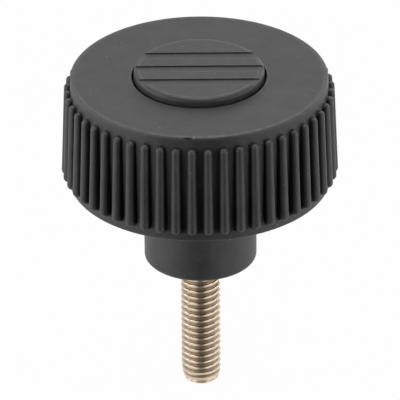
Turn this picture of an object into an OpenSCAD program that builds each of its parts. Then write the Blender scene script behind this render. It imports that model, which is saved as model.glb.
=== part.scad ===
// Knurled knob with a moulded-in threaded stud and a snap-in cover cap.
// Z runs up along the axis. Z = 0 is the hub's seating face, which the stud leaves downwards.

/* [Head] */
// Height of the top face above the hub's seating face
head_height = 29.8; // [27:0.1:36]
// Height of the rim
rim_height = 16.8; // [13:0.1:19]
// Diameter of the plain rim at the top face
top_diameter = 37.5; // [35:0.1:44]
// Diameter of the plain rim at its lower edge
band_diameter = 38.3; // [36:0.1:45]
// Radius on the rim's upper edge
top_edge_radius = 0.25; // [0.2:0.05:0.8]
// Radius on the rim's lower edge
low_edge_radius = 0.35; // [0.2:0.05:0.6]
// Thickness of the top wall over the pockets
top_wall = 3; // [2.4:0.1:4]
// Thickness of the rim's wall behind the ribs
rim_wall = 2.5; // [1.8:0.1:3.2]

/* [Ribs] */
// Number of ribs round the rim
rib_count = 52; // [36:1:56]
// Width of a rib near the top
rib_top_width = 1.2; // [0.9:0.05:1.5]
// Width of a rib near the lower edge
rib_low_width = 1.45; // [1:0.05:1.7]
// How far a rib stands out of the rim near the top
rib_top_proud = 0.95; // [0.7:0.05:1.1]
// How far a rib stands out of the lower band
rib_low_proud = 1.05; // [0.8:0.05:1.2]
// How far the lower band stands out of the rim between the ribs
band_step = 0.35; // [0.1:0.05:0.5]
// Height of the slope from the lower band to the rim between the ribs
band_slope = 0.7; // [0.1:0.05:0.9]
// Plain band between the top face and the ribs
upper_band = 1.7; // [1:0.1:3]
// Plain band between the ribs and the rim's lower edge
lower_band = 1.4; // [0.8:0.1:3]

/* [Hub] */
// Diameter of the hub below the rim
hub_diameter = 16.5; // [15.5:0.1:18]
// Radius on the hub's lower edge
hub_edge_radius = 0.55; // [0.3:0.05:0.9]
// How much wider the hub is at the pockets' ceiling, on the radius
hub_draft = 0.45; // [0.2:0.05:0.8]
// Radius in the pockets' upper corners
pocket_corner_radius = 1.2; // [0.6:0.1:1.6]
// Number of webs between the hub and the rim
web_count = 6; // [3:1:8]
// Thickness of a web
web_thickness = 1.6; // [1.2:0.1:2.4]
// How far the webs stay above the rim's lower edge
web_setback = 4; // [2:0.5:7]

/* [Cap] */
// Diameter of the well in the top face
well_diameter = 19.7; // [18.8:0.1:21]
// Depth of the well
well_depth = 1.6; // [1.2:0.1:2]
// Gap all round between the cap and the wall of the well
cap_gap = 0.35; // [0.2:0.05:0.5]
// How far the cap stands above the top face
cap_rise = 1.25; // [1:0.05:2]
// Radius on the cap's upper edge
cap_edge_radius = 0.6; // [0.3:0.05:0.9]
// Thickness of the cap's skin
cap_skin = 1.4; // [1.1:0.1:1.6]
// Thickness of the cap's outer wall
cap_wall = 1.3; // [1:0.1:1.5]
// Number of grip grooves across the cap
groove_count = 3; // [1:1:4]
// Distance from one groove to the next
groove_pitch = 4.04; // [3:0.02:4.4]
// Width of a groove
groove_width = 1.75; // [1:0.05:2.2]
// Depth of a groove
groove_depth = 0.2; // [0.1:0.05:0.5]

/* [Snap] */
// Outer diameter of the cap's snap ring
snap_ring_diameter = 14.4; // [13:0.1:15]
// Thickness of the snap ring
snap_ring_wall = 1.1; // [0.9:0.1:1.4]
// How far the snap ring reaches below the floor of the well
snap_ring_depth = 2.6; // [2:0.1:3]
// Radius of the bead on the snap ring
bead_radius = 0.25; // [0.15:0.05:0.35]
// Clearance round the snap ring and its bead
snap_clearance = 0.05; // [0.02:0.01:0.1]
// Room left beyond the end and inside of the snap ring
snap_room = 0.3; // [0.2:0.05:0.4]

/* [Stud] */
// Outer diameter of the thread
thread_diameter = 6; // [5:1:6]
// Length of thread below the seating face
thread_length = 20.8; // [10:0.1:40]
// Height of the cone in which the thread runs out into the shank, above the seating face
thread_runout = 0.6; // [0.3:0.1:1]
// Diameter of the stud's flat tip
tip_diameter = 4.4; // [3.6:0.1:4.6]
// Length of the cone at the stud's tip
tip_length = 1.6; // [0.8:0.1:2]
// Diameter of the plain shank inside the hub
shank_diameter = 4.8; // [4:0.1:4.9]
// Height of the anchor's lower face above the seating face
anchor_height = 9; // [5:0.5:12]
// Thickness of the hexagonal anchor
anchor_thickness = 5; // [3:0.5:7]
// Width of the hexagonal anchor across its flats
anchor_across_flats = 10; // [8:0.5:11]
// Gap between the steel and the plastic moulded round it
moulding_gap = 0.02; // [0.01:0.01:0.05]

/* [Hidden] */
$fn = 96;
// Overlap past a face when cutting through it
past = 1;
top_radius = top_diameter / 2;
band_radius = band_diameter / 2;
hub_radius = hub_diameter / 2;
well_radius = well_diameter / 2;
cap_radius = well_radius - cap_gap;
snap_ring_radius = snap_ring_diameter / 2;
thread_radius = thread_diameter / 2;
shank_radius = shank_diameter / 2;
rim_low = head_height - rim_height;
pocket_top = head_height - top_wall;
pocket_low_radius = band_radius - rim_wall;
pocket_top_radius = top_radius - rim_wall;
ledge = head_height - well_depth;
ring_end = ledge - snap_ring_depth;
bead_height = (ledge + ring_end) / 2;
island_radius = snap_ring_radius - snap_ring_wall - snap_room;
cap_top = head_height + cap_rise;
floor_radius = band_radius - band_step;
band_top = rim_low + lower_band;
rib_top_radius = rib_top_width / 2;
rib_low_radius = rib_low_width / 2;
// The centres of a rib's round ends, as distance from the axis and height
rib_top_centre = [top_radius + rib_top_proud - rib_top_radius, head_height - upper_band - rib_top_radius];
rib_low_centre = [band_radius + rib_low_proud - rib_low_radius, band_top + rib_low_radius];
rib_run = rib_top_centre[1] - rib_low_centre[1];
rib_lean = rib_low_centre[0] - rib_top_centre[0];
rib_length = norm([rib_lean, rib_run]);
// How far a rib's straight flanks reach inwards from its round front
rib_foot = rib_low_centre[0] - floor_radius + past / 2;

// The waste outside a rounding of radius r at a corner that points towards +X and +Y
module corner_waste(r) {
    difference() {
        square(r + past);
        circle(r);
    }
}

// Half section of the groove that takes the cap's snap ring, with the bead's seat
module snap_groove_section() {
    translate([island_radius, ring_end - snap_room])
        square([snap_ring_radius + snap_clearance - island_radius, ledge - ring_end + snap_room + past]);
    translate([snap_ring_radius, bead_height])
        circle(bead_radius + snap_clearance);
}

// Half section of the head: rim, hub, top wall and well, with no pockets
module head_section() {
    difference() {
        union() {
            polygon([
                [0, rim_low],
                [band_radius, rim_low],
                [band_radius, band_top],
                [floor_radius, band_top + band_slope],
                [top_radius, head_height - top_edge_radius],
                [top_radius, head_height],
                [0, head_height]
            ]);
            square([hub_radius, rim_low + past]);
        }
        translate([top_radius - top_edge_radius, head_height - top_edge_radius])
            corner_waste(top_edge_radius);
        translate([band_radius - low_edge_radius, rim_low + low_edge_radius])
            mirror([0, 1]) corner_waste(low_edge_radius);
        translate([hub_radius - hub_edge_radius, hub_edge_radius])
            mirror([0, 1]) corner_waste(hub_edge_radius);
        translate([0, ledge])
            square([well_radius, well_depth + past]);
        snap_groove_section();
    }
}

// Half section of the ring-shaped space between the hub and the rim's wall, with draft
module pocket_section() {
    r = pocket_corner_radius;
    inner_radius = hub_radius + hub_draft;
    difference() {
        polygon([
            [hub_radius, rim_low - past],
            [hub_radius, rim_low],
            [inner_radius, pocket_top - r],
            [inner_radius, pocket_top],
            [pocket_top_radius, pocket_top],
            [pocket_top_radius, pocket_top - r],
            [pocket_low_radius, rim_low],
            [pocket_low_radius, rim_low - past]
        ]);
        translate([pocket_top_radius - r, pocket_top - r])
            corner_waste(r);
        translate([inner_radius + r, pocket_top - r])
            mirror([1, 0]) corner_waste(r);
    }
}

// The pockets under the top wall: the ring-shaped space less the webs that cross it
module pockets() {
    web_low = rim_low + web_setback;
    difference() {
        rotate_extrude() pocket_section();
        for (i = [0 : web_count - 1])
            rotate(i * 360 / web_count)
                translate([0, -web_thickness / 2, web_low])
                    cube([band_radius, web_thickness, head_height - web_low]);
    }
}

// Outline of a rib from the front, with the centre of its lower round end at the origin
module rib_outline() {
    // The angle at which the tapered flanks touch both round ends
    flank = asin((rib_low_radius - rib_top_radius) / rib_length);
    side = [cos(flank), sin(flank)];
    circle(rib_low_radius);
    translate([0, rib_length])
        circle(rib_top_radius);
    polygon([
        [0, 0],
        rib_low_radius * side,
        [0, rib_length] + rib_top_radius * side,
        [0, rib_length],
        [0, rib_length] + rib_top_radius * [-side[0], side[1]],
        rib_low_radius * [-side[0], side[1]]
    ]);
}

// One rib, standing along Z with its round front towards +X and its flanks towards -X
module rib() {
    rotate(-90)
        rotate_extrude(angle = 180)
            intersection() {
                rib_outline();
                translate([0, -past])
                    square([past, rib_length + 2 * past]);
            }
    rotate([90, 0, -90])
        linear_extrude(rib_foot)
            rib_outline();
}

// All ribs, with a gap on each of the X and Y axes. Each leans with the rim's draft.
module ribs() {
    for (i = [0 : rib_count - 1])
        rotate((i + 0.5) * 360 / rib_count)
            translate([rib_low_centre[0], 0, rib_low_centre[1]])
                rotate([0, -atan2(rib_lean, rib_run), 0])
                    rib();
}

// The steel inside the hub: runout, shank and hexagonal anchor, grown by gap on every side
module anchor(gap) {
    cylinder(h = thread_runout, r1 = thread_radius + gap, r2 = shank_radius + gap);
    cylinder(h = anchor_height, r = shank_radius + gap);
    translate([0, 0, anchor_height - gap])
        cylinder(h = anchor_thickness + 2 * gap, r = (anchor_across_flats / 2 + gap) / cos(30), $fn = 6);
}

module knob_body() {
    color([0.11, 0.11, 0.12])
        difference() {
            union() {
                rotate_extrude() head_section();
                ribs();
            }
            pockets();
            anchor(moulding_gap);
            translate([0, 0, -past])
                cylinder(h = past, r = thread_radius + moulding_gap);
        }
}

// Half section of the cap: skin, outer wall and snap ring with its bead
module cap_section() {
    hollow_top = cap_top - cap_skin;
    difference() {
        translate([0, ledge])
            square([cap_radius, cap_top - ledge]);
        translate([cap_radius - cap_edge_radius, cap_top - cap_edge_radius])
            corner_waste(cap_edge_radius);
        square([cap_radius - cap_wall, hollow_top]);
    }
    translate([snap_ring_radius - snap_ring_wall, ring_end])
        square([snap_ring_wall, hollow_top + cap_skin / 2 - ring_end]);
    translate([snap_ring_radius, bead_height])
        circle(bead_radius);
}

module cover_cap() {
    color([0.12, 0.12, 0.13])
        difference() {
            rotate_extrude() cap_section();
            for (i = [0 : groove_count - 1])
                translate([-well_radius, (i - (groove_count - 1) / 2) * groove_pitch - groove_width / 2,
                    cap_top - groove_depth])
                    cube([2 * well_radius, groove_width, groove_depth + past]);
        }
}

module threaded_stud() {
    color([0.72, 0.67, 0.57]) {
        translate([0, 0, -thread_length])
            cylinder(h = tip_length, d1 = tip_diameter, d2 = thread_diameter);
        translate([0, 0, tip_length - thread_length])
            cylinder(h = thread_length - tip_length, r = thread_radius);
        anchor(0);
    }
}

knob_body();
cover_cap();
threaded_stud();
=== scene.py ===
"""Looks of the clamping knob: moulded plastic head, cover cap and rolled thread."""

import math
import bpy
from mathutils import Matrix, Vector


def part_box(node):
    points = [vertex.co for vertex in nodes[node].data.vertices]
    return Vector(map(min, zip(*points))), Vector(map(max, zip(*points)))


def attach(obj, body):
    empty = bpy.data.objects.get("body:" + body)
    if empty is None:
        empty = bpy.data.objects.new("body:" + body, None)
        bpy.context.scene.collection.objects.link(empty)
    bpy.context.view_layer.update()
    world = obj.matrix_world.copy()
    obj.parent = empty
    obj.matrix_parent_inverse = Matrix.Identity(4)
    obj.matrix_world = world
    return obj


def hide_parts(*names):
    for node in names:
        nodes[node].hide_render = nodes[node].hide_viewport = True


MM = 0.001
TURN = 2 * math.pi
WHITE = (1.0, 1.0, 1.0, 1.0)

# Thread, in mm: M6 x 1, right-hand
PITCH = 1.0
CREST_RADIUS = 2.94
# Half the width of a crest, with its rounded edge
CREST_HALF = 0.1
CREST_ROUND = 0.11
ROOT_ROUND = 0.09
FLANK = math.radians(30)
# Where the thread starts, as a share of a turn
THREAD_PHASE = 0.81
# How far the cutter reaches past the crests, and how much it widens there
OVERCUT = 0.1
OVERCUT_FLARE = 0.006
# Steps in a turn of the thread and round the blank
THREAD_STEPS = 72
BLANK_STEPS = 96
# Points closer than this are one point, in a turned shape and after the cuts
SEAM = 0.002
SLIVER = 0.0003
# Edges that turn by more than this stay sharp
SHARP = math.radians(28)

# The rounded tip, as (radius, height above its end), in mm
TIP = (
    (2.3, 0.0),
    (2.4, 0.02),
    (2.49, 0.09),
    (2.56, 0.22),
    (2.64, 0.45),
    (2.72, 0.8),
    (2.8, 1.2),
    (2.88, 1.75),
)
TIP_LENGTH = 2.4

# Steel inside the hub, in mm
RUNOUT = 0.6
SHANK_RADIUS = 2.4
SHANK_LAP = 1.0
ANCHOR_LOW = 9.0
ANCHOR_HIGH = 14.0
ANCHOR_FLATS = 10.0
ANCHOR_EDGE = 0.12

# Scales of the patterns in the plastic, in features a metre
GRAIN_SCALE = 4200.0
CLOUD_SCALE = 260.0
SPECK_SCALE = 900.0
WEAR_SCALE = 900.0
RING_SCALE = 700.0
RAGGED_SCALE = 9000.0
# The coarse part of the grain, beside the fine part: its scale and its height
COARSE_SCALE = 0.35
COARSE_HEIGHT = 0.6
# The share of the cells with a speck at the full amount, and the amount here
SPECK_SHARE = 0.2
SPECK_AMOUNT = 0.9
SPECK_TONE = (0.2, 0.2, 0.2, 1.0)
# How much the clouds darken and lighten the plastic, and how much the painted highlight,
# partly rubbing, lightens an edge
CLOUD_DARK = 0.74
CLOUD_LIGHT = 1.26
RING_HIGHLIGHT = 2.0
# Roughness of the plastic, and the strength and height in mm of its grain
PLASTIC_SMOOTH = 0.47
PLASTIC_ROUGH = 0.53
GRAIN_BUMP = (0.6, 0.03)

# The nick in the top's edge, in mm, its tone, and the strength and depth of its bump
NICK_CENTRE = (-1.66, -18.64, 29.67)
NICK_REACH = (0.68, 0.3, 0.13)
NICK_TONE = 0.006
NICK_BUMP = (1.0, 0.12)
# Light flecks, most of them round the nick, as (centre, reach, tone), in mm
FLECKS = (
    ((-0.8, -18.36, 29.8), (0.11, 0.2, 0.1), 0.28),
    ((-0.95, -18.66, 29.72), (0.1, 0.15, 0.08), 0.3),
    ((-2.16, -18.68, 29.45), (0.2, 0.2, 0.1), 0.1),
    ((-1.72, -16.57, 29.8), (0.55, 0.1, 0.1), 0.08),
    ((1.6, -18.64, 29.69), (0.12, 0.2, 0.06), 0.11),
    ((3.4, -18.4, 29.5), (0.08, 0.2, 0.12), 0.1),
    ((5.74, -17.9, 29.0), (0.15, 0.2, 0.08), 0.1),
    ((1.75, -8.1, 5.0), (0.45, 0.4, 1.7), 0.078),
    ((-1.4, -20.1, 18.4), (0.1, 0.2, 0.1), 0.14),
    ((1.4, -20.1, 18.2), (0.1, 0.2, 0.1), 0.12),
    ((2.9, -19.9, 17.1), (0.1, 0.2, 0.1), 0.12),
)
# A blob's edge, as shares of its reach, and how ragged it is
BLOB_IN = 1.15
BLOB_OUT = 1.65
BLOB_RAGGED = 0.8

# Steel: the radii between which a root, darkened with painted shade, turns into a crest, and
# the heights between which the tip turns bright, free of that painted shade, in mm
ROOT_RADIUS = 2.6
BRIGHT_RADIUS = 2.92
TIP_DULL = 1.6
TIP_BRIGHT = 0.8
STAIN_DARK = 0.9
STAIN_SCALE = 500.0
RING_MARK_SCALE = 1500.0
RING_MARK_STRETCH = (1.0, 1.0, 9.0)
RING_MARK_ROUGH = 0.05
RING_MARK_BUMP = (0.05, 0.01)
ROOT_ROUGHNESS = 0.33
CREST_ROUGHNESS = 0.2
ROOT_METAL = 0.75

# Floor: its side in metres, its grey, and how much of it the camera sees as plain white
FLOOR_SIDE = 6.0
FLOOR_GREY = (0.2, 0.2, 0.2, 1.0)
FLOOR_PLAIN = 0.985
# What mirror rays see of the dark front, painted shade on the camera's side: near and far
# from the stud in mm, with its half width and its tone at each
FRONT_NEAR = 30
FRONT_FAR = 50
NEAR_SPREAD = math.radians(21)
FAR_SPREAD = math.radians(40)
NEAR_TONE = 0.23
FAR_TONE = 0.06
# The warm tint of that front, a painted reflection, between the two pairs of distances at
# which it comes and goes
WARM = (1.0, 0.78, 0.54, 1.0)
WARM_FROM = (8, 12)
WARM_TO = (40, 55)
# In the painted reflection, the left side of the floor is a little darker than the right
LEFT_TONE = 0.9
# The pale floor close round the tip as mirror rays see it, and the dark spot under the tip's
# front, a painted shadow
CLOSE = (4, 9)
CLOSE_TONE = 0.9
SPOT_REACH = (2.6, 3.6)
SPOT_SPREAD = (math.radians(10), math.radians(35))
SPOT_TONE = 0.35

# World: its plain level, and the direction in which its backdrop is brightest
WORLD_LEVEL = 0.02
BACKDROP_WAY = (0.0, 0.8, 0.6)

# Lamps, as (name, angle round, angle up, side in metres, radiance, colour). The angle round is
# 0 at the camera's side and 90 on its right.
NEUTRAL = (1.0, 1.0, 1.0)
LAMPS = (
    ("lamp_left", -90, 5, 0.21, 3.75, NEUTRAL),
    ("lamp_left_front", -52, 5, 0.21, 3.6, NEUTRAL),
    ("lamp_right", 90, 5, 0.21, 2.7, NEUTRAL),
    ("lamp_right_front", 52, 5, 0.21, 2.5, NEUTRAL),
    ("lamp_right_back", 150, 5, 0.21, 2.0, NEUTRAL),
    ("lamp_top", 0, 90, 0.21, 4.5, (1.0, 0.97, 0.94)),
    ("lamp_back_high", 180, 60, 0.19, 1.3, NEUTRAL),
)
LAMP_DISTANCE = 0.4
# The height that the lamps aim at, as a share of the head's height
LAMP_AIM = 0.6

# Camera: it looks down by the tilt, and the centre of the top face stands at this pixel
CAMERA_TILT = math.radians(29.41)
CAMERA_ROLL = math.radians(0.47)
FRAME_PIXELS = 400
FOCAL_PIXELS = 6000.0
PIXELS_A_METRE = 6900.0
TOP_PIXEL = (199.15, 75.9)
SENSOR_WIDTH = 36.0
CLIP_END = 20.0

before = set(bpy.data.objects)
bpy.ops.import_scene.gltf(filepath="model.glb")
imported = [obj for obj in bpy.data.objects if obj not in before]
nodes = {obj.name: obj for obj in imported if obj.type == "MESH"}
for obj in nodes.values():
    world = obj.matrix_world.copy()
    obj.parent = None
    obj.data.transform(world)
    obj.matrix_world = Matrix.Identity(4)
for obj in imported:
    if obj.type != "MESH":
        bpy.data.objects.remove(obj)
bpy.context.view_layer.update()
stud_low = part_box("threaded_stud")[0].z
head_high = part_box("knob_body")[1].z


# ---------------------------------------------------------------- modelling


def start(name):
    """A single vertex at the origin, in edit mode, to draw a section from."""
    bpy.ops.object.select_all(action="DESELECT")
    bpy.ops.mesh.primitive_plane_add(size=MM)
    piece = bpy.context.active_object
    piece.name = name
    bpy.ops.object.mode_set(mode="EDIT")
    bpy.ops.mesh.select_all(action="SELECT")
    bpy.ops.mesh.merge(type="CENTER")
    return piece


def draw(points, closed=False):
    """Draws a section in the XZ plane through points of (radius, height) in mm."""
    radius, height = points[0]
    bpy.ops.transform.translate(value=(radius * MM, 0, height * MM))
    for (r0, z0), (r1, z1) in zip(points, points[1:]):
        bpy.ops.mesh.extrude_vertices_move(
            TRANSFORM_OT_translate={"value": ((r1 - r0) * MM, 0, (z1 - z0) * MM)}
        )
    bpy.ops.mesh.select_all(action="SELECT")
    if closed:
        bpy.ops.mesh.edge_face_add()


def close_up():
    """Merges seams and poles, fills open ends and turns the faces outwards."""
    bpy.ops.mesh.select_all(action="SELECT")
    bpy.ops.mesh.remove_doubles(threshold=SEAM * MM)
    bpy.ops.mesh.select_all(action="SELECT")
    bpy.ops.mesh.fill_holes(sides=0)
    bpy.ops.mesh.select_all(action="SELECT")
    bpy.ops.mesh.normals_make_consistent(inside=False)
    bpy.ops.object.mode_set(mode="OBJECT")


def select_only(piece):
    """Leaves this piece alone selected and active."""
    bpy.ops.object.select_all(action="DESELECT")
    piece.select_set(True)
    bpy.context.view_layer.objects.active = piece


def apply_modifier(piece, kind, **values):
    """Adds a modifier with these values and applies it."""
    modifier = piece.modifiers.new(kind.title(), kind)
    for key, value in values.items():
        setattr(modifier, key, value)
    select_only(piece)
    bpy.ops.object.modifier_apply(modifier=modifier.name)


def turned_blank():
    """The steel before its thread is cut: tip, plain length, runout and shank."""
    low = stud_low / MM
    blank = start("stud_thread")
    draw(
        [
            (0, low),
            *((radius, low + height) for radius, height in TIP),
            (CREST_RADIUS, low + TIP_LENGTH),
            (CREST_RADIUS, 0),
            (SHANK_RADIUS, RUNOUT),
            (SHANK_RADIUS, ANCHOR_LOW + SHANK_LAP),
            (0, ANCHOR_LOW + SHANK_LAP),
        ]
    )
    bpy.ops.mesh.spin(steps=BLANK_STEPS, angle=TURN, center=(0, 0, 0), axis=(0, 0, 1))
    close_up()
    return blank


def hexagon_anchor():
    """The hexagonal anchor, with all its edges rounded."""
    height = ANCHOR_HIGH - ANCHOR_LOW
    bpy.ops.object.select_all(action="DESELECT")
    bpy.ops.mesh.primitive_cylinder_add(
        vertices=6,
        radius=ANCHOR_FLATS / 2 / math.cos(TURN / 12) * MM,
        depth=height * MM,
        location=(0, 0, (ANCHOR_LOW + height / 2) * MM),
        rotation=(0, 0, TURN / 12),
    )
    anchor = bpy.context.active_object
    bpy.ops.object.transform_apply(location=True, rotation=True, scale=True)
    bpy.ops.object.mode_set(mode="EDIT")
    bpy.ops.mesh.select_all(action="SELECT")
    bpy.ops.mesh.bevel(offset=ANCHOR_EDGE * MM, segments=2, affect="EDGES")
    bpy.ops.object.mode_set(mode="OBJECT")
    return anchor


def groove_section():
    """Half of the thread's groove as (radius, half width), from its root out.

    Straight flanks join a round root to the rounded edge of the crest."""
    crest_centre = CREST_RADIUS - CREST_ROUND
    crest_side = PITCH / 2 - CREST_HALF
    flank_high = crest_centre + CREST_ROUND * math.sin(FLANK)
    flank_wide = crest_side - CREST_ROUND * math.cos(FLANK)
    sharp_root = flank_high - flank_wide / math.tan(FLANK)
    root_centre = sharp_root + ROOT_ROUND / math.sin(FLANK)
    section = []
    for degrees in (0, 15, 30, 45, 60):
        angle = math.radians(degrees)
        radius = root_centre - ROOT_ROUND * math.cos(angle)
        section.append((radius, ROOT_ROUND * math.sin(angle)))
    for degrees in (60, 42, 24, 8):
        angle = math.radians(degrees)
        radius = crest_centre + CREST_ROUND * math.cos(angle)
        section.append((radius, crest_side - CREST_ROUND * math.sin(angle)))
    section.append((CREST_RADIUS + OVERCUT, section[-1][1] + OVERCUT_FLARE))
    return section


def thread_cutter():
    """A coil with the section of the groove, which cuts the thread."""
    half = groove_section()
    low = stud_low / MM - (1.5 + THREAD_PHASE) * PITCH
    turns = math.ceil(-low / PITCH) - 1
    outline = [(r, -w) for r, w in reversed(half[1:])] + [(r, w) for r, w in half]
    cutter = start("thread_cutter")
    draw([(r, low + w) for r, w in outline], closed=True)
    bpy.ops.mesh.delete(type="ONLY_FACE")
    bpy.ops.object.mode_set(mode="OBJECT")
    apply_modifier(
        cutter,
        "SCREW",
        axis="Z",
        angle=TURN,
        screw_offset=PITCH * MM,
        iterations=turns,
        steps=THREAD_STEPS,
        render_steps=THREAD_STEPS,
        use_merge_vertices=False,
    )
    bpy.ops.object.mode_set(mode="EDIT")
    close_up()
    return cutter


def threaded_stud():
    """The stud with its cut thread, standing for the plain CAD stud."""
    stud = turned_blank()
    for tool, operation in ((hexagon_anchor(), "UNION"), (thread_cutter(), "DIFFERENCE")):
        apply_modifier(stud, "BOOLEAN", object=tool, operation=operation, solver="EXACT")
        bpy.data.objects.remove(tool)
    select_only(stud)
    bpy.ops.object.mode_set(mode="EDIT")
    bpy.ops.mesh.select_all(action="SELECT")
    bpy.ops.mesh.remove_doubles(threshold=SLIVER * MM)
    bpy.ops.mesh.dissolve_degenerate(threshold=SLIVER * MM)
    bpy.ops.object.mode_set(mode="OBJECT")
    bpy.ops.object.shade_smooth_by_angle(angle=SHARP)
    return stud


# ---------------------------------------------------------------- shader nodes


def new_group(name, inputs, outputs):
    """An empty node group with named inputs, as (name, kind, default), and outputs."""
    group = bpy.data.node_groups.new(name, "ShaderNodeTree")
    for label, kind, default in inputs:
        socket = group.interface.new_socket(name=label, in_out="INPUT", socket_type=kind)
        if default is not None:
            socket.default_value = default
    for label, kind in outputs:
        group.interface.new_socket(name=label, in_out="OUTPUT", socket_type=kind)
    source = group.nodes.new("NodeGroupInput")
    sink = group.nodes.new("NodeGroupOutput")
    return group, source, sink


def add(tree, kind, **values):
    """A node of this kind with its properties set."""
    node = tree.nodes.new(kind)
    for key, value in values.items():
        setattr(node, key, value)
    return node


def feed(tree, value, socket):
    """Links an output to this input, or sets a plain value on it."""
    if isinstance(value, bpy.types.NodeSocket):
        tree.links.new(value, socket)
    else:
        socket.default_value = value


def maths(tree, operation, *values):
    """A maths node fed by sockets or plain numbers."""
    node = add(tree, "ShaderNodeMath", operation=operation)
    for value, socket in zip(values, node.inputs):
        feed(tree, value, socket)
    return node.outputs["Value"]


def vectors(tree, operation, *values):
    """A vector maths node fed by sockets or plain vectors."""
    node = add(tree, "ShaderNodeVectorMath", operation=operation)
    for value, socket in zip(values, node.inputs):
        feed(tree, value, socket)
    return node


def length(tree, vector):
    """How long a vector is."""
    return vectors(tree, "LENGTH", vector).outputs["Value"]


def axis_distance(tree, vector):
    """How far a place is from the axis."""
    flat = vectors(tree, "MULTIPLY", vector, (1.0, 1.0, 0.0))
    return length(tree, flat.outputs["Vector"])


def split(tree, vector):
    """The X, Y and Z of a vector."""
    parts = add(tree, "ShaderNodeSeparateXYZ")
    tree.links.new(vector, parts.inputs["Vector"])
    return parts.outputs


def noise(tree, vector, scale, detail=2.0, roughness=0.5):
    """A noise texture on these coordinates."""
    node = add(tree, "ShaderNodeTexNoise", noise_dimensions="3D")
    tree.links.new(vector, node.inputs["Vector"])
    feed(tree, scale, node.inputs["Scale"])
    node.inputs["Detail"].default_value = detail
    node.inputs["Roughness"].default_value = roughness
    return node.outputs["Fac"]


def ramp(tree, value, low, high, out_low=0.0, out_high=1.0, kind="SMOOTHSTEP"):
    """A step of value from low to high, smooth or straight."""
    node = add(tree, "ShaderNodeMapRange", interpolation_type=kind)
    tree.links.new(value, node.inputs["Value"])
    node.inputs["From Min"].default_value = low
    node.inputs["From Max"].default_value = high
    node.inputs["To Min"].default_value = out_low
    node.inputs["To Max"].default_value = out_high
    return node.outputs["Result"]


def mix_colour(tree, factor, first, second):
    """A mix of two colours, each a socket or a plain colour."""
    node = add(tree, "ShaderNodeMix", data_type="RGBA")
    tree.links.new(factor, node.inputs["Factor"])
    feed(tree, first, node.inputs[6])
    feed(tree, second, node.inputs[7])
    return node.outputs[2]


def bump(tree, height, strength, reach, normal=None, invert=False):
    """The normal of a bump of this height. Its reach is in mm."""
    node = add(tree, "ShaderNodeBump", invert=invert)
    node.inputs["Strength"].default_value = strength
    node.inputs["Distance"].default_value = reach * MM
    tree.links.new(height, node.inputs["Height"])
    if normal is not None:
        tree.links.new(normal, node.inputs["Normal"])
    return node.outputs["Normal"]


def scaled(colour, factor):
    """A colour made darker or lighter."""
    return tuple(factor * c for c in colour[:3]) + (1.0,)


# ---------------------------------------------------------------- shared effects


def moulded_grain_group():
    """Fine eroded grain of a moulded surface, with soft cloudiness and pale specks."""
    group, source, sink = new_group(
        "moulded_grain",
        [
            ("Vector", "NodeSocketVector", None),
            ("Grain Scale", "NodeSocketFloat", 3000.0),
            ("Speck Amount", "NodeSocketFloat", 0.5),
        ],
        [
            ("Height", "NodeSocketFloat"),
            ("Clouds", "NodeSocketFloat"),
            ("Specks", "NodeSocketFloat"),
        ],
    )
    vector = source.outputs["Vector"]
    scale = source.outputs["Grain Scale"]
    fine = noise(group, vector, scale, detail=3.0, roughness=0.6)
    coarse = noise(group, vector, maths(group, "MULTIPLY", scale, COARSE_SCALE))
    height = maths(group, "MULTIPLY_ADD", coarse, COARSE_HEIGHT, fine)
    clouds = noise(group, vector, CLOUD_SCALE, detail=6.0, roughness=0.68)
    cells = add(group, "ShaderNodeTexVoronoi", feature="F1")
    group.links.new(vector, cells.inputs["Vector"])
    cells.inputs["Scale"].default_value = SPECK_SCALE
    near = ramp(group, cells.outputs["Distance"], low=0.16, high=0.05)
    pick = add(group, "ShaderNodeSeparateColor")
    group.links.new(cells.outputs["Color"], pick.inputs["Color"])
    share = maths(group, "MULTIPLY", source.outputs["Speck Amount"], SPECK_SHARE)
    limit = maths(group, "SUBTRACT", 1.0, share)
    chosen = maths(group, "GREATER_THAN", pick.outputs["Red"], limit)
    group.links.new(height, sink.inputs["Height"])
    group.links.new(clouds, sink.inputs["Clouds"])
    group.links.new(maths(group, "MULTIPLY", near, chosen), sink.inputs["Specks"])
    return group


def edge_wear_and_highlight_group():
    """Mask of the outward edges, rubbed unevenly, which also serves as a painted highlight."""
    group, source, sink = new_group(
        "edge_wear_and_highlight",
        [
            ("Vector", "NodeSocketVector", None),
            ("Width", "NodeSocketFloat", 0.0003),
        ],
        [("Wear And Highlight", "NodeSocketFloat")],
    )
    within = add(
        group, "ShaderNodeAmbientOcclusion", samples=8, inside=True, only_local=True
    )
    group.links.new(source.outputs["Width"], within.inputs["Distance"])
    bent = ramp(group, within.outputs["AO"], low=0.93, high=0.82)
    patches = noise(group, source.outputs["Vector"], WEAR_SCALE, detail=3.0)
    uneven = ramp(group, patches, low=0.35, high=0.65, out_low=0.4)
    group.links.new(maths(group, "MULTIPLY", bent, uneven), sink.inputs["Wear And Highlight"])
    return group


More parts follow.
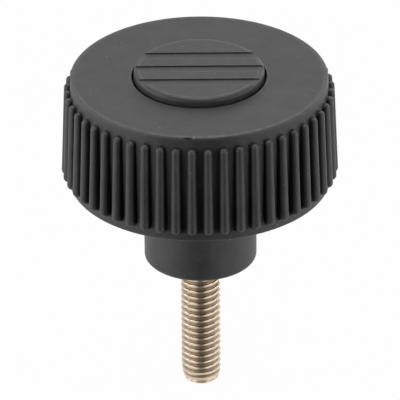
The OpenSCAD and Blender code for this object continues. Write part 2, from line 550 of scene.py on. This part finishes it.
def rubbed_ring_and_highlight_group():
    """Mask of a thin ring round the axis for a painted highlight, partly rubbing, made uneven.
    """
    group, source, sink = new_group(
        "rubbed_ring_and_highlight",
        [
            ("Vector", "NodeSocketVector", None),
            ("Radius", "NodeSocketFloat", 0.018),
            ("Height", "NodeSocketFloat", 0.029),
            ("Width", "NodeSocketFloat", 0.0003),
        ],
        [("Highlit Ring", "NodeSocketFloat")],
    )
    vector = source.outputs["Vector"]
    radius = axis_distance(group, vector)
    out = maths(group, "SUBTRACT", radius, source.outputs["Radius"])
    up = maths(group, "SUBTRACT", split(group, vector)["Z"], source.outputs["Height"])
    squares = maths(group, "MULTIPLY_ADD", out, out, maths(group, "MULTIPLY", up, up))
    away = maths(group, "SQRT", squares)
    widths = maths(group, "DIVIDE", away, source.outputs["Width"])
    near = ramp(group, widths, low=1.0, high=0.4)
    patches = noise(group, vector, RING_SCALE, detail=4.0, roughness=0.6)
    uneven = ramp(group, patches, low=0.3, high=0.7, out_low=0.15)
    group.links.new(maths(group, "MULTIPLY", near, uneven), sink.inputs["Highlit Ring"])
    return group


def crevice_shade_group():
    """Painted shade: a factor for the colour by how open a place is, from dark in deep gaps to
    1 on open faces.
    """
    group, source, sink = new_group(
        "crevice_shade",
        [
            ("Distance", "NodeSocketFloat", 0.001),
            ("Darkest", "NodeSocketFloat", 0.3),
        ],
        [("Painted Shade", "NodeSocketFloat")],
    )
    darkest = source.outputs["Darkest"]
    wide = add(group, "ShaderNodeAmbientOcclusion", samples=8)
    group.links.new(source.outputs["Distance"], wide.inputs["Distance"])
    openness = ramp(group, wide.outputs["AO"], low=0.15, high=0.95)
    range_left = maths(group, "SUBTRACT", 1.0, darkest)
    shade = maths(group, "MULTIPLY_ADD", openness, range_left, darkest)
    group.links.new(shade, sink.inputs["Painted Shade"])
    return group


# ---------------------------------------------------------------- materials


def plain_material(name):
    """A material with a Principled shader and Object coordinates."""
    material = bpy.data.materials.new(name)
    material.use_nodes = True
    tree = material.node_tree
    shader = tree.nodes["Principled BSDF"]
    place = add(tree, "ShaderNodeTexCoord").outputs["Object"]
    return material, tree, shader, place


def blob(tree, place, centre, reach):
    """Mask of an uneven blob round a place, both in mm."""
    shift = add(tree, "ShaderNodeMapping", vector_type="TEXTURE")
    shift.inputs["Location"].default_value = [c * MM for c in centre]
    shift.inputs["Scale"].default_value = [r * MM for r in reach]
    tree.links.new(place, shift.inputs["Vector"])
    away = length(tree, shift.outputs["Vector"])
    ragged = noise(tree, place, RAGGED_SCALE)
    edge = maths(tree, "MULTIPLY_ADD", ragged, BLOB_RAGGED, away)
    return ramp(tree, edge, low=BLOB_OUT, high=BLOB_IN)


def nicked(tree, place, colour, normal):
    """Adds a small gouge in the top's edge, and light flecks, to a colour and a normal."""
    for centre, reach, tone in FLECKS:
        fleck = blob(tree, place, centre, reach)
        colour = mix_colour(tree, fleck, colour, (tone, tone, tone, 1.0))
    gouge = blob(tree, place, NICK_CENTRE, NICK_REACH)
    colour = mix_colour(tree, gouge, colour, (NICK_TONE, NICK_TONE, NICK_TONE, 1.0))
    return colour, bump(tree, gouge, *NICK_BUMP, normal=normal, invert=True)


def moulded_plastic(
    name, base, rubbed_and_highlit_tone, wear_and_highlight_width, ring, depth, darkest, groups, marks=None
):
    """Black-grey moulded plastic with fine grain, worn edges that also carry a painted
    highlight, and painted shade in its gaps.

    ring is the radius, height and width in mm of the edge that is rubbed most and carries the
    strongest painted highlight, and depth is how far in mm a gap has to reach to be as dark as
    the painted shade gets."""
    material, tree, shader, place = plain_material(name)
    grain = add(tree, "ShaderNodeGroup", node_tree=groups["grain"])
    tree.links.new(place, grain.inputs["Vector"])
    grain.inputs["Grain Scale"].default_value = GRAIN_SCALE
    grain.inputs["Speck Amount"].default_value = SPECK_AMOUNT
    clouds = grain.outputs["Clouds"]
    colour = mix_colour(
        tree,
        ramp(tree, clouds, low=0.3, high=0.7),
        scaled(base, CLOUD_DARK),
        scaled(base, CLOUD_LIGHT),
    )
    colour = mix_colour(tree, grain.outputs["Specks"], colour, SPECK_TONE)
    # Outward edges lightened: partly wear, partly a painted highlight.
    wear = add(tree, "ShaderNodeGroup", node_tree=groups["wear"])
    tree.links.new(place, wear.inputs["Vector"])
    wear.inputs["Width"].default_value = wear_and_highlight_width * MM
    colour = mix_colour(tree, wear.outputs["Wear And Highlight"], colour, rubbed_and_highlit_tone)
    # Painted highlight, partly rubbing, along the top's rim or the cap's edge.
    edge = add(tree, "ShaderNodeGroup", node_tree=groups["ring"])
    tree.links.new(place, edge.inputs["Vector"])
    for label, value in zip(("Radius", "Height", "Width"), ring):
        edge.inputs[label].default_value = value * MM
    colour = mix_colour(tree, edge.outputs["Highlit Ring"], colour, scaled(base, RING_HIGHLIGHT))
    # Painted shade: the colour is darkened in gaps and hollows, where shade falls.
    crevice_shade = add(tree, "ShaderNodeGroup", node_tree=groups["crevice_shade"])
    crevice_shade.inputs["Distance"].default_value = depth * MM
    crevice_shade.inputs["Darkest"].default_value = darkest
    shaded = add(tree, "ShaderNodeVectorMath", operation="SCALE")
    tree.links.new(colour, shaded.inputs[0])
    tree.links.new(crevice_shade.outputs["Painted Shade"], shaded.inputs["Scale"])
    colour = shaded.outputs["Vector"]
    normal = bump(tree, grain.outputs["Height"], *GRAIN_BUMP)
    if marks:
        colour, normal = marks(tree, place, colour, normal)
    worn = ramp(
        tree, clouds, low=0.3, high=0.7, out_low=PLASTIC_SMOOTH, out_high=PLASTIC_ROUGH
    )
    tree.links.new(colour, shader.inputs["Base Color"])
    tree.links.new(worn, shader.inputs["Roughness"])
    tree.links.new(normal, shader.inputs["Normal"])
    return material


def rolled_steel(name, base, root):
    """Warm stainless steel with the fine rings that rolling leaves, rougher in its roots and
    darker there with painted shade.
    """
    material, tree, shader, place = plain_material(name)
    stretched = add(tree, "ShaderNodeMapping")
    stretched.inputs["Scale"].default_value = RING_MARK_STRETCH
    tree.links.new(place, stretched.inputs["Vector"])
    rings = noise(tree, stretched.outputs["Vector"], RING_MARK_SCALE)
    stains = noise(tree, place, STAIN_SCALE, detail=3.0, roughness=0.6)
    clean = ramp(tree, stains, low=0.35, high=0.7)
    tinted = mix_colour(tree, clean, scaled(base, STAIN_DARK), base)
    radius = axis_distance(tree, place)
    crest = maths(
        tree,
        "MAXIMUM",
        ramp(tree, radius, low=ROOT_RADIUS * MM, high=BRIGHT_RADIUS * MM),
        ramp(
            tree,
            split(tree, place)["Z"],
            low=stud_low + TIP_DULL * MM,
            high=stud_low + TIP_BRIGHT * MM,
        ),
    )
    gain = CREST_ROUGHNESS - ROOT_ROUGHNESS
    smooth = maths(tree, "MULTIPLY_ADD", crest, gain, ROOT_ROUGHNESS)
    worked = ramp(tree, rings, low=0.3, high=0.7, out_high=RING_MARK_ROUGH)
    rough = maths(tree, "ADD", smooth, worked)
    metal = maths(tree, "MULTIPLY_ADD", crest, 1.0 - ROOT_METAL, ROOT_METAL)
    normal = bump(tree, rings, *RING_MARK_BUMP)
    # The roots take the darker root colour: painted shade in the thread's hollows.
    tree.links.new(mix_colour(tree, crest, root, tinted), shader.inputs["Base Color"])
    tree.links.new(rough, shader.inputs["Roughness"])
    tree.links.new(metal, shader.inputs["Metallic"])
    tree.links.new(normal, shader.inputs["Normal"])
    return material


# ---------------------------------------------------------------- the studio


def asked_by(tree):
    """Masks of the camera's rays, and of those from mirrors and clear things."""
    path = add(tree, "ShaderNodeLightPath")
    mirrored = maths(
        tree,
        "MAXIMUM",
        path.outputs["Is Glossy Ray"],
        path.outputs["Is Transmission Ray"],
    )
    return path.outputs["Is Camera Ray"], mirrored


def floor_seen_by_mirrors(tree):
    """Tone and colour in which mirror rays see the floor: a painted reflection.

    It is dark and warm in front of the knob, on the camera's side, as painted shade, and pale
    at its sides, at its back and close round the tip, apart from a dark spot under the tip's
    front, which is a painted shadow."""
    place = add(tree, "ShaderNodeTexCoord").outputs["Object"]
    parts = split(tree, place)
    around = maths(tree, "ARCTAN2", parts["X"], parts["Y"])
    from_front = maths(tree, "SUBTRACT", math.pi, maths(tree, "ABSOLUTE", around))
    distance = length(tree, place)

    def step(reach, out_low=0.0, out_high=1.0):
        low, high = reach
        return ramp(tree, distance, low * MM, high * MM, out_low, out_high)

    front = (FRONT_NEAR, FRONT_FAR)
    spread = step(front, NEAR_SPREAD, FAR_SPREAD)
    spreads = maths(tree, "DIVIDE", from_front, spread)
    off_front = ramp(tree, spreads, low=0.5, high=1.0)
    sides = ramp(tree, around, low=-TURN / 6, high=TURN / 6, out_low=LEFT_TONE)
    pale = maths(tree, "MULTIPLY", off_front, sides)
    wide = maths(tree, "MAXIMUM", pale, step(front, NEAR_TONE, FAR_TONE))
    low, high = SPOT_SPREAD
    beside = ramp(tree, from_front, low, high, out_low=SPOT_TONE)
    off_spot = maths(tree, "MAXIMUM", beside, step(SPOT_REACH))
    close = maths(tree, "MULTIPLY", step(CLOSE, CLOSE_TONE, 0.0), off_spot)
    tone = maths(tree, "MAXIMUM", wide, close)
    inside = step(WARM_FROM, 1.0, 0.0)
    outside = maths(tree, "MAXIMUM", inside, step(WARM_TO))
    plain = maths(tree, "MAXIMUM", off_front, outside)
    return tone, plain


def white_floor():
    """A wide white floor under the stud's tip, which keeps the knob's shadow."""
    bpy.ops.object.select_all(action="DESELECT")
    bpy.ops.mesh.primitive_plane_add(size=FLOOR_SIDE, location=(0, 0, stud_low))
    floor = bpy.context.active_object
    floor.name = "studio_floor"
    material = bpy.data.materials.new("floor_white")
    material.use_nodes = True
    tree = material.node_tree
    tree.nodes.clear()
    tone, plain = floor_seen_by_mirrors(tree)
    camera, mirrored = asked_by(tree)
    level = maths(tree, "MAXIMUM", camera, maths(tree, "MULTIPLY", mirrored, tone))
    untinted = maths(tree, "MAXIMUM", camera, plain)
    white = add(tree, "ShaderNodeEmission")
    tree.links.new(level, white.inputs["Strength"])
    tree.links.new(mix_colour(tree, untinted, WARM, WHITE), white.inputs["Color"])
    shaded = add(tree, "ShaderNodeBsdfDiffuse")
    shaded.inputs["Color"].default_value = FLOOR_GREY
    bright = maths(tree, "MULTIPLY", camera, FLOOR_PLAIN)
    mixed = add(tree, "ShaderNodeMixShader")
    tree.links.new(maths(tree, "MAXIMUM", bright, mirrored), mixed.inputs["Fac"])
    tree.links.new(shaded.outputs["BSDF"], mixed.inputs[1])
    tree.links.new(white.outputs["Emission"], mixed.inputs[2])
    sink = add(tree, "ShaderNodeOutputMaterial")
    tree.links.new(mixed.outputs["Shader"], sink.inputs["Surface"])
    floor.data.materials.append(material)


def white_world():
    """A white backdrop behind and above the knob, and dim light from all round."""
    world = bpy.data.worlds.new("studio_world")
    bpy.context.scene.world = world
    world.use_nodes = True
    tree = world.node_tree
    background = tree.nodes["Background"]
    background.inputs["Color"].default_value = WHITE
    way = add(tree, "ShaderNodeTexCoord").outputs["Generated"]
    rise = vectors(tree, "DOT_PRODUCT", way, BACKDROP_WAY).outputs["Value"]
    backdrop = ramp(tree, rise, low=0.0, high=1.0, kind="LINEAR")
    camera, mirrored = asked_by(tree)
    seen = maths(tree, "MAXIMUM", camera, maths(tree, "MULTIPLY", mirrored, backdrop))
    strength = maths(tree, "MAXIMUM", seen, WORLD_LEVEL)
    tree.links.new(strength, background.inputs["Strength"])


def soft_lamp(name, around, up, side, radiance, colour):
    """A soft square lamp aimed at the head, set by its angles round and above it."""
    a = math.radians(around)
    e = math.radians(up)
    towards = Vector(
        (math.sin(a) * math.cos(e), -math.cos(a) * math.cos(e), math.sin(e))
    )
    light = bpy.data.lights.new(name, "AREA")
    light.shape = "SQUARE"
    light.size = side
    light.energy = math.pi * side * side * radiance
    light.color = colour
    lamp = bpy.data.objects.new(name, light)
    bpy.context.collection.objects.link(lamp)
    lamp.location = Vector((0, 0, LAMP_AIM * head_high)) + towards * LAMP_DISTANCE
    lamp.rotation_euler = (-towards).to_track_quat("-Z", "Y").to_euler()
    lamp.visible_camera = False


def set_camera():
    """A long lens, looking down on the knob from the front."""
    forward = Vector((0, math.cos(CAMERA_TILT), -math.sin(CAMERA_TILT)))
    up = Vector((0, math.sin(CAMERA_TILT), math.cos(CAMERA_TILT)))
    right = Vector((1, 0, 0))
    across = right * math.cos(CAMERA_ROLL) - up * math.sin(CAMERA_ROLL)
    upright = up * math.cos(CAMERA_ROLL) + right * math.sin(CAMERA_ROLL)
    middle = FRAME_PIXELS / 2
    place = (
        Vector((0, 0, head_high))
        - across * ((TOP_PIXEL[0] - middle) / PIXELS_A_METRE)
        + upright * ((TOP_PIXEL[1] - middle) / PIXELS_A_METRE)
        - forward * (FOCAL_PIXELS / PIXELS_A_METRE)
    )
    matrix = Matrix((across, upright, -forward)).transposed().to_4x4()
    matrix.translation = place
    data = bpy.data.cameras.new("camera")
    data.sensor_width = SENSOR_WIDTH
    data.lens = FOCAL_PIXELS / FRAME_PIXELS * SENSOR_WIDTH
    data.clip_end = CLIP_END
    camera = bpy.data.objects.new("camera", data)
    camera.matrix_world = matrix
    bpy.context.collection.objects.link(camera)
    bpy.context.scene.camera = camera


# ---------------------------------------------------------------- assembly

groups = {
    "grain": moulded_grain_group(),
    "wear": edge_wear_and_highlight_group(),
    "ring": rubbed_ring_and_highlight_group(),
    "crevice_shade": crevice_shade_group(),
}
black_plastic = moulded_plastic(
    "body_black",
    base=(0.0558, 0.0570, 0.0585, 1.0),
    rubbed_and_highlit_tone=(0.11, 0.112, 0.115, 1.0),
    wear_and_highlight_width=0.5,
    ring=(18.35, 29.8, 0.45),
    depth=1.4,
    darkest=0.05,
    groups=groups,
    marks=nicked,
)
cap_plastic = moulded_plastic(
    "cap_black",
    base=(0.0600, 0.0612, 0.0625, 1.0),
    rubbed_and_highlit_tone=(0.12, 0.121, 0.122, 1.0),
    wear_and_highlight_width=0.25,
    ring=(8.8, 31.04, 0.3),
    depth=0.8,
    darkest=0.35,
    groups=groups,
)
steel = rolled_steel(
    "stud_steel_warm",
    base=(0.81, 0.67, 0.535, 1.0),
    # root is the darker colour of the thread's roots, painted shade
    root=(0.48, 0.395, 0.29, 1.0),
)

nodes["knob_body"].material_slots[0].material = black_plastic
nodes["cover_cap"].material_slots[0].material = cap_plastic

stud = threaded_stud()
stud.data.materials.clear()
stud.data.materials.append(steel)
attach(stud, "root")
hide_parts("threaded_stud")

white_floor()
white_world()
for lamp in LAMPS:
    soft_lamp(*lamp)
set_camera()
bpy.context.scene.view_settings.view_transform = "Standard"
